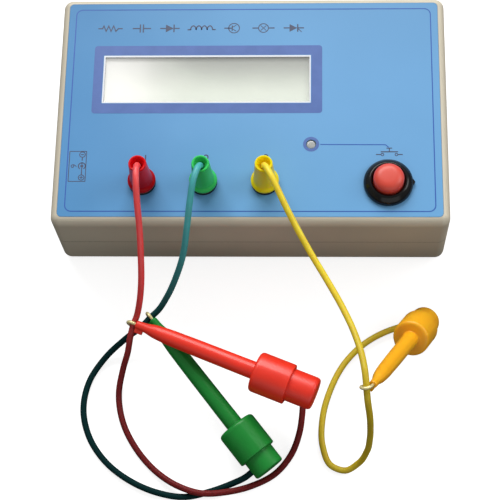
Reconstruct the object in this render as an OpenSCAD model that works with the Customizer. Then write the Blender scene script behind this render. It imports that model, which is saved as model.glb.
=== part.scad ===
// Component tester: a two-part case with a character display, a push button, three panel
// sockets and three test leads, each with a tapered plug and a sprung hook clip.
// Millimetres. The origin is the centre of the case's underside: +X right, +Y back, +Z up.

/* [Case] */
// Width of the case
case_w = 125; // [124:0.5:128]
// Depth of the case, front to back
case_d = 80; // [79:0.5:84]
// Height of the case, without the button
case_h = 32; // [32:0.5:34]
// Thickness of the case walls
wall = 2.2; // [1.8:0.1:2.4]
// Radius of the case's edges and corners
edge_r = 3; // [2.5:0.5:4]
// Height at which the two shells meet
split_z = 16; // [15.9:0.1:17]

/* [Panel] */
// Width of the rim around the label
label_rim = 2.2; // [1.8:0.1:2.6]
// Depth of the recess that the label lies in
label_recess = 0.5; // [0.3:0.1:0.7]
// Width of the display window
window_w = 67; // [64:0.5:68]
// Height of the display window
window_h = 17; // [15:0.5:18]
// Distance between neighbouring test sockets
socket_pitch = 19.3; // [17:0.1:20]
// Diameter of the push button's bezel
bezel_d = 15.5; // [15:0.1:17]
// Diameter of the push button's cap
cap_d = 9.7; // [9:0.1:10]
// Travel of the push button
button_travel = 2; // [1:0.1:2.5]

/* [Leads] */
// Diameter of the test leads
cord_d = 2; // [1.6:0.1:2]
// Height of a plug's sleeve
plug_h = 13.9; // [13.5:0.1:14]
// Diameter of a plug's pin
pin_d = 2; // [1.6:0.1:2]

/* [Hook clips] */
// Length of a clip, from the hook's end to the cap's end
clip_len = 64.5; // [64:0.1:65]
// Diameter of a clip's collar
collar_d = 12.9; // [12.4:0.1:13]
// Diameter of a clip's cap
clip_cap_d = 10.5; // [10:0.1:10.6]
// Diameter of the hook's wire
hook_wire = 0.9; // [0.7:0.1:1]

/* [Hidden] */
$fn = 48;
gap = 0.05;                       // running gap between pieces that slide or sit in each other
RED = 0;
GREEN = 1;
YELLOW = 2;
lead_colour = ["#dc2b22", "#1f8a45", "#f0a21e"];
plug_colour = ["#c8201e", "#35b04e", "#e2cf2a"];
cord_colour = ["#a01c26", "#0e4a48", "#e0b92e"];

// Case
in_w = case_w - 2 * wall;
in_d = case_d - 2 * wall;
ceiling = case_h - wall;          // underside of the top wall
label_z = case_h - label_recess;  // floor of the label's recess
label_t = label_recess - gap;
label_top = label_z + label_t;
label_w = case_w - 2 * label_rim;
label_d = case_d - 2 * label_rim;
lip_h = 1.5;                      // tongue that lines the two shells up
lip_t = 1;
tongue_w = in_w + lip_t - 2 * gap;
tongue_d = in_d + lip_t - 2 * gap;
boss_d = 7;
boss_x = case_w / 2 - 7;
boss_y = case_d / 2 - 7;
screw_d = 2.8;
screw_head_d = 5.4;
screw_seat = 3.3;                 // height of the screw heads' seat

// Display
display_x = -14.5;
display_y = 10.1;
board_t = 1.6;
module_w = 80;                    // display's circuit board
module_d = 36;
frame_w = 71.2;                   // display's metal frame
frame_d = 24.2;
frame_t = 0.5;
pane_w = frame_w - 2 * frame_t - 0.2;
pane_d = frame_d - 2 * frame_t - 0.2;
display_top = label_z - gap;       // the metal frame comes up through the case to the label
display_board_z = display_top - 8.3;
display_pitch_x = 75;
display_pitch_y = 31;

// Panel parts
socket_x = [-33.8, -33.8 + socket_pitch, -33.8 + 2 * socket_pitch];
socket_y = -26.2;
socket_body_d = 6;
flange_d = 8.6;
flange_top = label_top + 1.05;
socket_end = 20;
button_x = 43.3;
button_y = -26.4;
thread_d = 11.8;
bezel_top = label_top + 3.1;
button_bore_d = cap_d + 0.6;
button_floor = 18;
cap_top = label_top + 6.2;
led_x = 19.2;
led_y = -13;
nut_t = 2.4;

// Main board and what is on it
board_z = 3.8;
board_top = board_z + board_t;
board_x0 = -51;
board_x1 = 27;
board_half_d = 36.5;
board_hole = [[-46, -32], [22, -32], [-46, 32], [22, 32]];
jack_y = -20.5;
jack_w = 9;
jack_len = 13.4;
jack_h = 11;
jack_z = board_top + gap + 6.6;   // axis of the power socket
jack_bore_d = 5.6;
inlet_w = 7;                      // slot for the power plug in the left wall, open to the split
battery_size = [26.5, 48.5, 17.5];
battery_at = [28.2, -19, wall + gap];
snap_x = [6.9, 19.6];

// Lead routes, from inside the plug, over the edge of the case, through the clip's own hook
// and along the table to the clip's cap
route = [
    [
        [-33.8, -26.2, 41.3], [-33.8, -26.3, 44.2], [-33.8, -26.9, 46.9], [-33.8, -28.6, 48.8],
        [-33.7, -31.8, 49.4], [-33.4, -38.2, 46.4], [-32.9, -45.2, 41], [-32.8, -52.2, 35],
        [-33.2, -58.5, 28], [-34.4, -63.4, 21.2], [-35.4, -65.8, 17.8], [-36.5, -67.9, 16.1],
        [-37.4, -70.6, 14.3], [-38.7, -74.8, 9.4], [-40.7, -79.3, 4.2], [-42, -86, 1.2],
        [-40.3, -95.5, 1.1], [-35.8, -104, 1.1], [-29, -111.5, 1.1], [-21.5, -116.4, 2.5],
        [-14.5, -118.6, 3.5], [-7, -118, 2.7], [0.5, -115.8, 1.1], [8.5, -111.5, 1.1],
        [13.3, -105.5, 1.6], [15.8, -99.2, 4.6], [16.5, -95.6, 8.2], [16.9, -91.4, 12.8]
    ],
    [
        [-14.5, -26.2, 41.3], [-14.5, -26.3, 44.2], [-14.6, -26.9, 46.9], [-15.1, -28.5, 48.8],
        [-16, -31.6, 49.4], [-17.3, -38, 46.2], [-18.5, -44.6, 40.4], [-20.1, -50.6, 32.6],
        [-22.9, -55.4, 24.6], [-26.1, -59.3, 17.8], [-29.2, -62.4, 13.6], [-31.8, -64.3, 11.9],
        [-34.2, -66.4, 10.4], [-40, -69.2, 5.6], [-46.9, -74.5, 1.6], [-51.8, -82.6, 1.1],
        [-53.1, -91.5, 1.1], [-50.8, -100.4, 1.1], [-45.2, -108.4, 1.1], [-37.2, -114.4, 1.1],
        [-28.6, -118, 1.1], [-20, -119.3, 1.1], [-12.2, -117.6, 1.1], [-5.2, -115, 1.2],
        [-1.3, -113.4, 2.4], [1.7, -111.5, 4.6]
    ],
    [
        [4.8, -26.2, 41.3], [4.8, -26.3, 44.2], [5, -26.9, 46.9], [5.7, -28.4, 48.8],
        [7.2, -31.4, 49.6], [10.4, -38, 48], [14.8, -46, 44.4], [19.4, -53.6, 41.2],
        [24.2, -61.5, 39.6], [28.6, -69.8, 39.8], [32.2, -78.6, 41.4], [34.4, -87, 43.6],
        [35.1, -92, 44.4], [35.4, -95.3, 43.6], [35.7, -98.4, 42], [36.5, -101.8, 36.5],
        [37, -103.6, 28], [37.1, -105, 19], [36.5, -106.6, 10.5], [34.2, -108.8, 4.2],
        [30, -110.6, 1.3], [25.6, -109, 1.1], [23, -102.8, 1.1], [22.9, -94.5, 1.1],
        [25.3, -85, 1.1], [30.2, -75.6, 1.1], [37, -68.8, 1.1], [44, -64.9, 1.1],
        [48.8, -63.6, 2.1], [51.7, -63.5, 3.5]
    ]
];
plug_rings = 5;                   // the plug carries the route's points up to this one

// Hook clips: the hook's end, the heading, the fall towards the cap, the roll and the size
clip_at = [[-38.6, -67.1, 17.9], [-32.9, -62.8, 13.95], [36.2, -96.5, 45.7]];
clip_yaw = [-21.5, -50.8, 60.2];
clip_fall = [1, 7.8, 46.7];
clip_roll = [0, 0, 55];
clip_size = [0.99, 0.967, 0.9];
clip_travel = [2.4, 1.4, 2];      // how far each barrel can be drawn back
clip_slide = [-1.4, 1.9, 0];      // where each collar sits along its clip
hook_r = 1.8;                     // radius of the hook's bend
bend_s = hook_r + hook_wire / 2;  // distances along a clip, from the hook's end
mouth_s = 3.4;
waist_s = 11;
collar_s = 45.4;
collar_len = 11.8;
collar_wall = 1.6;
rod_end = clip_len - 3.5;

// Plugs
plug_z = flange_top + gap;
plug_top = plug_z + plug_h;

function unit(v) = v / norm(v);
function tangents(p) = [
    for (i = [0 : len(p) - 1]) unit(p[min(i + 1, len(p) - 1)] - p[max(i - 1, 0)])
];
function side_start(t) = unit(cross(t, abs(t.z) < 0.9 ? [0, 0, 1] : [1, 0, 0]));
// Side vectors that turn no more than the path does, so a swept tube never twists
function sides(t) = [
    for (
        i = 0, n = side_start(t[0]);
        i < len(t);
        i = i + 1, n = i < len(t) ? unit(n - (n * t[i]) * t[i]) : n
    ) n
];
function helix(r, z0, z1, turns, steps) = [
    for (i = [0 : turns * steps])
        [r * cos(360 * i / steps), r * sin(360 * i / steps), z0 + (z1 - z0) * i / (turns * steps)]
];

// Tube along path p, from ring a to ring b, as one closed solid
module swept(p, r, n, a, b) {
    t = tangents(p);
    s = sides(t);
    points = [
        for (i = [a : b])
            for (k = [0 : n - 1])
                p[i] + r * (cos(360 * k / n) * s[i] + sin(360 * k / n) * cross(t[i], s[i]))
    ];
    m = b - a;
    skin = [
        for (i = [0 : m - 1])
            for (k = [0 : n - 1])
                let (k2 = (k + 1) % n, a0 = i * n + k, a1 = a0 + n, b0 = i * n + k2, b1 = b0 + n)
                    [[a0, a1, b1], [a0, b1, b0]]
    ];
    faces = concat(
        [for (pair = skin) pair[0]],
        [for (pair = skin) pair[1]],
        [[for (k = [0 : n - 1]) k]],
        [[for (k = [0 : n - 1]) m * n + n - 1 - k]]
    );
    polyhedron(points, faces);
}

module rod(d, z0, z1) {
    translate([0, 0, z0]) cylinder(d = d, h = z1 - z0);
}

module block(w, d, z0, z1) {
    translate([-w / 2, -d / 2, min(z0, z1)]) cube([w, d, abs(z1 - z0)]);
}

module rounded_sheet(w, d, r, z0, z1) {
    translate([0, 0, z0]) linear_extrude(z1 - z0) {
        square([w - 2 * r, d], center = true);
        square([w, d - 2 * r], center = true);
        for (x = [-1, 1], y = [-1, 1]) translate([x * (w / 2 - r), y * (d / 2 - r)]) circle(r);
    }
}

// Half of a box with rounded corners, whose closed side is at z1 and open side at z0
module half_box(w, d, r, z0, z1) {
    up = z1 > z0 ? 1 : -1;
    hull() {
        block(w - 2 * r, d - 2 * r, z1 - up * r, z1);
        for (x = [-1, 1], y = [-1, 1]) {
            translate([x * (w / 2 - r), y * (d / 2 - r), z1 - up * r]) sphere(r, $fn = 32);
            translate([x * (w / 2 - r), y * (d / 2 - r), min(z0, z1 - up * r)])
                cylinder(r = r, h = abs(z1 - z0) - r, $fn = 32);
        }
    }
}

module at_corners(x, y) {
    for (sx = [-1, 1], sy = [-1, 1]) translate([sx * x, sy * y, 0]) children();
}

module display_hole(w, d) {
    translate([display_x, display_y, 0]) block(w, d, ceiling - 1, case_h + 1);
}

module panel_holes() {
    for (x = socket_x) translate([x, socket_y, 0]) rod(socket_body_d + 0.2, ceiling - 1, case_h + 1);
    translate([button_x, button_y, 0]) rod(thread_d + 0.2, ceiling - 1, case_h + 1);
    translate([led_x, led_y, 0]) rod(3.2, ceiling - 1, case_h + 1);
}

module case_top() {
    color("#d5cdb4") difference() {
        union() {
            difference() {
                half_box(case_w, case_d, edge_r, split_z, case_h);
                rounded_sheet(in_w, in_d, edge_r - 1, split_z - 1, ceiling);
            }
            at_corners(boss_x, boss_y) rod(boss_d, split_z, ceiling + 1);
            translate([display_x, display_y, 0])
                at_corners(display_pitch_x / 2, display_pitch_y / 2)
                    rod(5, display_board_z + board_t, ceiling + 1);
        }
        rounded_sheet(label_w, label_d, 1.5, label_z, case_h + 1);
        display_hole(frame_w + 0.2, frame_d + 0.2);
        panel_holes();
        rounded_sheet(in_w + lip_t, in_d + lip_t, edge_r - 1, split_z - 1, split_z + lip_h + gap);
        at_corners(boss_x, boss_y) rod(screw_d + 0.1, split_z - 1, ceiling - 2);
        translate([display_x, display_y, 0])
            at_corners(display_pitch_x / 2, display_pitch_y / 2)
                rod(2.2, display_board_z, ceiling - 2);
    }
    color("#d5cdb4") difference() {
        at_corners(boss_x, boss_y) rod(boss_d, split_z, split_z + lip_h + 1);
        at_corners(boss_x, boss_y) rod(screw_d + 0.1, split_z - 1, split_z + lip_h + 2);
    }
}

module case_bottom() {
    color("#cfc7ae") difference() {
        union() {
            difference() {
                half_box(case_w, case_d, edge_r, split_z, 0);
                rounded_sheet(in_w, in_d, edge_r - 1, wall, split_z + 1);
            }
            difference() {
                rounded_sheet(tongue_w, tongue_d, edge_r - 1, split_z - 3, split_z + lip_h);
                rounded_sheet(in_w - lip_t, in_d - lip_t, edge_r - 1.5, split_z - 4, split_z + lip_h + 1);
                at_corners(boss_x, boss_y) rod(boss_d + 1, split_z, split_z + lip_h + 1);
                translate([-in_w / 2, jack_y, 0]) block(lip_t + 0.2, jack_w + 0.6, split_z - 4, split_z + 3);
            }
            at_corners(boss_x, boss_y) rod(boss_d, wall - 1, split_z);
            for (at = board_hole) translate(at) rod(6, wall - 1, board_z);
        }
        at_corners(boss_x, boss_y) {
            rod(screw_head_d + 0.4, -1, screw_seat);
            rod(screw_d + 0.4, 0, split_z + 1);
        }
        for (at = board_hole) translate(at) rod(2.2, wall, board_z + 1);
        translate([-case_w / 2 - 1, jack_y, jack_z]) {
            rotate([0, 90, 0]) cylinder(d = inlet_w, h = wall + 2);
            translate([0, -inlet_w / 2, 0]) cube([wall + 2, inlet_w, split_z - jack_z + 1]);
        }
    }
}

module screw(head_d, head_h, shank_d, z_head, z_tip) {
    up = z_tip > z_head ? 1 : -1;
    translate([0, 0, z_head]) mirror([0, 0, up > 0 ? 0 : 1]) difference() {
        rotate_extrude() polygon([
            [0, -head_h], [head_d / 2 - 0.5, -head_h], [head_d / 2, -head_h + 0.5], [head_d / 2, 0],
            [shank_d / 2, 0], [shank_d / 2, abs(z_tip - z_head) - 1], [0, abs(z_tip - z_head)]
        ]);
        for (turn = [0, 90]) rotate([0, 0, turn]) block(head_d * 0.6, 0.7, -head_h - 1, -head_h + 0.9);
    }
}

module case_screws() {
    color("silver") at_corners(boss_x, boss_y) screw(screw_head_d, 2, screw_d, screw_seat, 26);
}

module panel_label() {
    color("#6ba6d8") difference() {
        rounded_sheet(label_w - 0.2, label_d - 0.2, 1.4, label_z, label_top);
        display_hole(window_w, window_h);
        panel_holes();
    }
}

// Clear part of the label, over the display
module display_film() {
    color("#e3e8e6") translate([display_x, display_y, 0])
        block(window_w - 2 * gap, window_h - 2 * gap, label_z, label_top);
}

// Display module: framed glass over a light guide, on its own circuit board
module display_glass() {
    color("#cfd8d2") translate([display_x, display_y, 0])
        block(pane_w, pane_d, display_top - 2.6, display_top - frame_t);
}

module display_bezel() {
    color("#8c9196") translate([display_x, display_y, 0]) difference() {
        block(frame_w, frame_d, display_board_z + board_t, display_top);
        block(window_w - 1, window_h - 1, display_top - 2, display_top + 1);
        block(frame_w - 2 * frame_t, frame_d - 2 * frame_t, display_board_z, display_top - frame_t);
    }
}

module display_backlight() {
    color("#f4f4ee") translate([display_x, display_y, 0])
        block(pane_w - 0.2, pane_d - 0.2, display_board_z + board_t, display_top - 2.7);
}

module display_board() {
    color("#1f5c38") translate([display_x, display_y, 0]) difference() {
        block(module_w, module_d, display_board_z, display_board_z + board_t);
        at_corners(display_pitch_x / 2, display_pitch_y / 2)
            rod(2.7, display_board_z - 1, display_board_z + 3);
    }
}

module display_screws() {
    color("silver") translate([display_x, display_y, 0])
        at_corners(display_pitch_x / 2, display_pitch_y / 2)
            screw(4.5, 1.6, 2.1, display_board_z, ceiling - 3);
}

pin_pitch = 2.54;
module display_header() {
    pins = 16;
    color("#20201f") translate([display_x, display_y + module_d / 2 - 2.5, 0]) {
        block(pins * pin_pitch, 2.5, board_top, board_top + 2.5);
        for (i = [0 : pins - 1])
            translate([(i - (pins - 1) / 2) * pin_pitch, 0, 0])
                block(0.6, 0.6, board_top + 2, display_board_z);
    }
}

// Main board and its components
module main_board() {
    color("#256b3f") difference() {
        union() {
            translate([board_x0, -board_half_d, board_z])
                cube([board_x1 - board_x0, 2 * board_half_d, board_t]);
            translate([-in_w / 2 + 0.5, jack_y - 8, board_z]) cube([12, 16, board_t]);
        }
        for (at = board_hole) translate(at) rod(3.2, board_z - 1, board_top + 1);
    }
}

module board_screws() {
    color("silver") for (at = board_hole) translate(at) screw(5, 1.8, 2.1, board_top, wall + 0.3);
}

chip_x = -22;
chip_y = 2;
chip_pins = 14;
module controller_socket() {
    color("#2a2a2c") translate([chip_x, chip_y, 0]) difference() {
        block(35.6, 10.2, board_top, board_top + 4.2);
        block(30, 3.6, board_top - 1, board_top + 5);
        for (i = [0 : chip_pins - 1], side = [-1, 1])
            translate([(i - (chip_pins - 1) / 2) * pin_pitch, side * 3.81, 0])
                block(0.7, 0.5, board_top + 1, board_top + 5);
    }
}

module controller_chip() {
    base = board_top + 4.9;
    translate([chip_x, chip_y, 0]) {
        color("#151517") difference() {
            block(34.8, 7.1, base, base + 3.4);
            translate([-17.4, 0, 0]) rod(2, base + 2.8, base + 4);
        }
        color("silver") for (i = [0 : chip_pins - 1], side = [-1, 1])
            translate([(i - (chip_pins - 1) / 2) * pin_pitch, side * 3.81, 0]) {
                block(0.5, 0.3, board_top + 1.2, base + 1.8);
                translate([0, -side * 0.2, 0]) block(1.2, 0.7, base + 1.4, base + 1.8);
            }
    }
}

module crystal() {
    color("silver") translate([6, 2, 0]) rounded_sheet(10.4, 4.4, 2.1, board_top, board_top + 3.6);
}

module regulator() {
    color("#1b1b1d") translate([-40, -30, 0]) {
        difference() {
            rod(4.8, board_top + 3, board_top + 7.6);
            translate([0, -4, 0]) block(6, 5, board_top + 2, board_top + 9);
        }
        for (x = [-1.27, 0, 1.27]) translate([x, 0, 0]) block(0.5, 0.5, board_top, board_top + 3.2);
    }
}

module capacitors() {
    color("#22324e") for (at = [[-44, -10], [-26, -14], [16, 14]]) translate(at) rotate_extrude() polygon([
        [0, board_top], [3.1, board_top], [3.1, board_top + 1], [2.9, board_top + 1.4],
        [3.1, board_top + 1.8], [3.1, board_top + 10.7], [2.8, board_top + 11], [0, board_top + 11]
    ]);
}

module resistors() {
    color("#4f8fb5") for (i = [0 : 6]) translate([-40 + 7.5 * i, 15, board_top + 1.25]) {
        rotate([90, 0, 0]) translate([0, 0, -3]) cylinder(d = 2.3, h = 6);
        rotate([90, 0, 0]) translate([0, 0, -7.05]) cylinder(d = 0.6, h = 14.1);
        for (y = [-6.8, 6.8]) translate([0, y, 0]) block(0.5, 0.5, -1.25, 0.3);
    }
}

module indicator_led() {
    top = label_top - 0.6;
    color("#c9ccd0") translate([led_x, led_y, 0]) {
        rotate_extrude() polygon(concat(
            [[0, top - 4.8], [1.9, top - 4.8], [1.9, top - 3.8], [1.5, top - 3.8]],
            [for (a = [0 : 15 : 90]) [1.5 * cos(a), top - 1.5 + 1.5 * sin(a)]]
        ));
        for (x = [-1.27, 1.27]) translate([x, 0, 0]) block(0.5, 0.5, board_top, top - 4.7);
    }
}

module power_jack() {
    x0 = -in_w / 2 + gap;
    color("#19191b") difference() {
        translate([x0, jack_y - jack_w / 2, board_top]) cube([jack_len, jack_w, jack_h]);
        translate([x0 - 1, jack_y, jack_z]) rotate([0, 90, 0]) cylinder(d = jack_bore_d, h = 10.5);
        translate([x0 + 9, jack_y, jack_z]) rotate([0, 90, 0]) cylinder(d = 2.1, h = 3);
    }
}

module power_jack_pin() {
    color("silver") translate([-in_w / 2 + 1.5, jack_y, jack_z]) rotate([0, 90, 0]) cylinder(d = 2, h = 9.9);
}

module battery() {
    color("#2f3d52") translate(battery_at) difference() {
        union() {
            cube(battery_size);
            for (x = snap_x)
                translate([x, battery_size.y - 1, battery_size.z / 2])
                    rotate([-90, 0, 0]) cylinder(d = 5.6, h = 3.2);
        }
        translate([-1, -1, -1]) cube([battery_size.x + 2, 1.4, 1.4]);
    }
}

module battery_snap() {
    at = battery_at + [0, battery_size.y + gap, battery_size.z / 2];
    color("#1d1d1f") difference() {
        translate(at + [1.5, 0, -6]) cube([21.5, 4.6, 12]);
        for (x = snap_x) translate(at + [x, -1, 0]) rotate([-90, 0, 0]) cylinder(d = 6, h = 3.6);
    }
}

module battery_leads() {
    for (i = [0, 1]) {
        y = 31 + 2.4 * i;
        z = battery_at.z + battery_size.z / 2 + 3 - 2 * i;
        lead = [
            [battery_at.x + 1.3, y, z], [27.6, y, z + 0.1], [25.8, y - 1, z - 1], [25.2, y - 3, z - 4],
            [25.2, y - 5, 7.6], [25.2, y - 5.1, board_top + 0.1]
        ];
        color(i == 0 ? "#b01818" : "#1c1c1c") swept(lead, 0.6, 8, 0, len(lead) - 1);
    }
}

// Push button: threaded housing through the panel, with a sprung cap
module button_housing() {
    r = bezel_d / 2;
    color("#17181a") translate([button_x, button_y, 0]) {
        difference() {
            rotate_extrude() polygon([
                [0, button_floor - 2], [thread_d / 2, button_floor - 2], [thread_d / 2, label_top],
                [r, label_top], [r, label_top + 1.2], [r - 0.5, label_top + 1.9],
                [r - 1.6, bezel_top - 0.2], [r - 1.9, bezel_top], [button_bore_d / 2 + 0.3, bezel_top],
                [button_bore_d / 2, bezel_top - 0.3], [button_bore_d / 2, button_floor],
                [0, button_floor]
            ]);
            for (x = [-2.2, 2.2]) translate([x, 0, 0]) block(0.7, 2.4, button_floor - 3, button_floor + 1);
        }
        translate([r - 0.3, -0.6, label_top]) linear_extrude(1.2) polygon([[0, 0], [0.9, 0.6], [0, 1.2]]);
    }
}

module hex_nut(across_flats, bore_d) {
    difference() {
        cylinder(r = across_flats / sqrt(3), h = nut_t, $fn = 6);
        translate([0, 0, -1]) cylinder(d = bore_d, h = nut_t + 2);
    }
}

module button_nut() {
    color("silver") translate([button_x, button_y, ceiling - nut_t]) hex_nut(14, thread_d + 0.1);
}

module button_terminals() {
    color("#c9a24a") translate([button_x, button_y, 0])
        for (x = [-2.2, 2.2]) translate([x, 0, 0]) block(0.6, 2.3, 10, button_floor + 1.2);
}

module button_leads() {
    for (i = [0, 1]) {
        x = button_x - 2.2 + 4.4 * i;
        y = button_y - 4 * i;
        lead = [
            [x, button_y, 9.95], [x - 0.6, button_y, 7.6], [x - 3, button_y - 2 * i, 5.4 - 2 * i],
            [x - 8, y, 4.4 - 1.2 * i], [30, y, 4.6 - i], [28.2, y, 7.6], [26.2, y, 9], [25, y, 8],
            [24.9, y, board_top + 0.1]
        ];
        color("#d8d8d4") swept(lead, 0.5, 8, 0, len(lead) - 1);
    }
}

module button_cap() {
    r = cap_d / 2;
    color("#dc4a40") translate([button_x, button_y, 0]) rotate_extrude() polygon(concat(
        [[0, 22], [r, 22]],
        [for (a = [0 : 15 : 75]) [r - 1.2 + 1.2 * cos(a), cap_top - 1.9 + 1.2 * sin(a)]],
        [[r - 1.6, cap_top - 0.6], [r - 2.6, cap_top - 0.25], [r - 3.8, cap_top - 0.05], [0, cap_top]]
    ));
}

module button_contact() {
    color("#c9a24a") translate([button_x, button_y, 0]) rod(6.4, 21.5, 22);
}

module button_spring() {
    lead = helix(4.2, button_floor + 0.3, 21.7, 3, 12);
    color("silver") translate([button_x, button_y, 0]) swept(lead, 0.25, 6, 0, len(lead) - 1);
}

// Test sockets in the panel
module panel_sockets() {
    r = socket_body_d / 2;
    color("#1c1d20") for (x = socket_x) translate([x, socket_y, 0]) rotate_extrude() polygon([
        [pin_d / 2 + gap, socket_end + 0.5], [0, socket_end + 0.5], [0, socket_end - 4],
        [0.8, socket_end - 4], [0.8, socket_end], [r, socket_end], [r, label_top], [flange_d / 2, label_top],
        [flange_d / 2, flange_top - 0.3], [flange_d / 2 - 0.3, flange_top], [pin_d / 2 + gap, flange_top]
    ]);
}

module socket_nuts() {
    color("silver") for (x = socket_x)
        translate([x, socket_y, ceiling - nut_t]) hex_nut(8, socket_body_d + 0.1);
}

module socket_wires() {
    color("#d8d8d4") for (x = socket_x) translate([x, socket_y, 0]) rod(1.2, board_top, socket_end - 4);
}

// Test leads
module plug_sleeve(i) {
    color(plug_colour[i]) translate([socket_x[i], socket_y, plug_z]) rotate_extrude() polygon([
        [pin_d / 2 + 0.02, 0], [3.9, 0], [4.3, 0.3], [4.4, 0.8], [4.35, 1.3], [4.05, 1.75], [3.75, 1.95],
        [3.45, 2.3], [2.95, plug_h - 0.5], [2.85, plug_h - 0.15], [2.65, plug_h], [2.5, plug_h],
        [2.15, plug_h - 0.8], [1.9, plug_h - 2], [1.9, 8.1], [pin_d / 2 + 0.02, 7.4]
    ]);
}

module plug_pin(i) {
    end_z = socket_end + 1.5;
    color("#d9b45c") translate([socket_x[i], socket_y, 0]) rotate_extrude() polygon([
        [0, end_z], [pin_d / 2 - 0.4, end_z], [pin_d / 2, end_z + 0.6],
        [pin_d / 2, plug_z + 7.2], [0, plug_z + 7.2]
    ]);
}

module cord_top(i) {
    color(cord_colour[i]) swept(route[i], cord_d / 2, 8, 0, plug_rings);
}

module cord(i) {
    color(cord_colour[i]) swept(route[i], cord_d / 2, 8, plug_rings, len(route[i]) - 1);
}

// A clip's own frame: local X runs from the hook's end to the cap, and the hook opens to local -Z
module clip_frame(i) {
    translate(clip_at[i]) rotate([0, 0, clip_yaw[i]]) rotate([0, clip_fall[i], 0])
        rotate([clip_roll[i], 0, 0]) scale(clip_size[i]) children();
}

module turned(profile) {
    rotate([0, 90, 0]) rotate_extrude() polygon(profile);
}

function cavity_s(i) = collar_s + clip_slide[i] + collar_wall;
function cap_s(i) = cavity_s(i) + clip_travel[i] + 2.6;

module clip_barrel(i) {
    bore = hook_wire / 2 + gap;
    cavity = clip_cap_d / 2 + 0.2;
    r = collar_d / 2;
    front = collar_s + clip_slide[i];
    back = front + collar_len;
    color(lead_colour[i]) clip_frame(i) {
        turned([
            [bore, mouth_s], [1.1, mouth_s], [1.3, mouth_s + 0.3], [2.2, waist_s], [2.5, waist_s + 9],
            [2.7, waist_s + 19], [2.8, front], [r - 1.1, front], [r - 0.4, front + 0.25],
            [r - 0.08, front + 0.7], [r, front + 1.4], [r, back - 0.6], [r - 0.12, back - 0.15],
            [r - 0.4, back], [cavity, back], [cavity, cavity_s(i)], [bore, cavity_s(i)]
        ]);
        rotate([-60, 0, 0]) translate([mouth_s + 0.2, -0.6, -2.7]) cube([2.6, 1.2, 1.7]);
    }
}

// The cap is held by the lead, so it stays where it is while the barrel slides up to it
module clip_cap(i) {
    p = route[i];
    last = len(p) - 1;
    r = clip_cap_d / 2;
    z = clip_len;
    color(lead_colour[i]) difference() {
        clip_frame(i) turned([
            [hook_wire / 2 + 0.02, cap_s(i)], [r, cap_s(i)], [r, z - 1.9], [r - 0.18, z - 1.2],
            [r - 0.65, z - 0.65], [r - 1.4, z - 0.35], [r - 2.7, z - 0.12], [0, z], [0, rod_end],
            [hook_wire / 2 + 0.02, rod_end]
        ]);
        t = unit(p[last - 1] - p[last]);
        translate(p[last]) rotate([0, acos(t.z), atan2(t.y, t.x)]) cylinder(d = cord_d + 0.1, h = 6);
    }
}

module clip_hook(i) {
    color("#c8b070") clip_frame(i) {
        rotate([0, 90, 0]) rod(hook_wire, bend_s, rod_end);
        translate([bend_s, 0, -hook_r]) rotate([90, 0, 0]) rotate([0, 0, 90])
            rotate_extrude(angle = 180) translate([hook_r, 0]) circle(d = hook_wire);
        translate([0, 0, -2 * hook_r]) rotate([0, 90, 0]) rod(hook_wire, bend_s, bend_s + 1.2);
    }
}

module clip_spring(i) {
    coil = helix(2.2, cavity_s(i) + 0.35, cap_s(i) - 0.35, 3, 12);
    color("silver") clip_frame(i) rotate([0, 90, 0]) swept(coil, 0.3, 6, 0, len(coil) - 1);
}

case_top();
case_bottom();
case_screws();
panel_label();
display_film();
display_glass();
display_bezel();
display_backlight();
display_board();
display_screws();
display_header();
main_board();
board_screws();
controller_socket();
controller_chip();
crystal();
regulator();
capacitors();
resistors();
indicator_led();
power_jack();
power_jack_pin();
battery();
battery_snap();
battery_leads();
button_housing();
button_nut();
button_terminals();
button_leads();
button_cap();
button_contact();
button_spring();
panel_sockets();
socket_nuts();
socket_wires();
plug_sleeve(RED);  // red_plug_sleeve
plug_pin(RED);  // red_plug_pin
cord_top(RED);  // red_cord_top
cord(RED);  // red_cord
clip_barrel(RED);  // red_clip_barrel
clip_cap(RED);  // red_clip_cap
clip_hook(RED);  // red_clip_hook
clip_spring(RED);  // red_clip_spring
plug_sleeve(GREEN);  // green_plug_sleeve
plug_pin(GREEN);  // green_plug_pin
cord_top(GREEN);  // green_cord_top
cord(GREEN);  // green_cord
clip_barrel(GREEN);  // green_clip_barrel
clip_cap(GREEN);  // green_clip_cap
clip_hook(GREEN);  // green_clip_hook
clip_spring(GREEN);  // green_clip_spring
plug_sleeve(YELLOW);  // yellow_plug_sleeve
plug_pin(YELLOW);  // yellow_plug_pin
cord_top(YELLOW);  // yellow_cord_top
cord(YELLOW);  // yellow_cord
clip_barrel(YELLOW);  // yellow_clip_barrel
clip_cap(YELLOW);  // yellow_clip_cap
clip_hook(YELLOW);  // yellow_clip_hook
clip_spring(YELLOW);  // yellow_clip_spring
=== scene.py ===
import math

import bpy
import bmesh
from mathutils import Euler, Matrix, Vector


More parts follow.
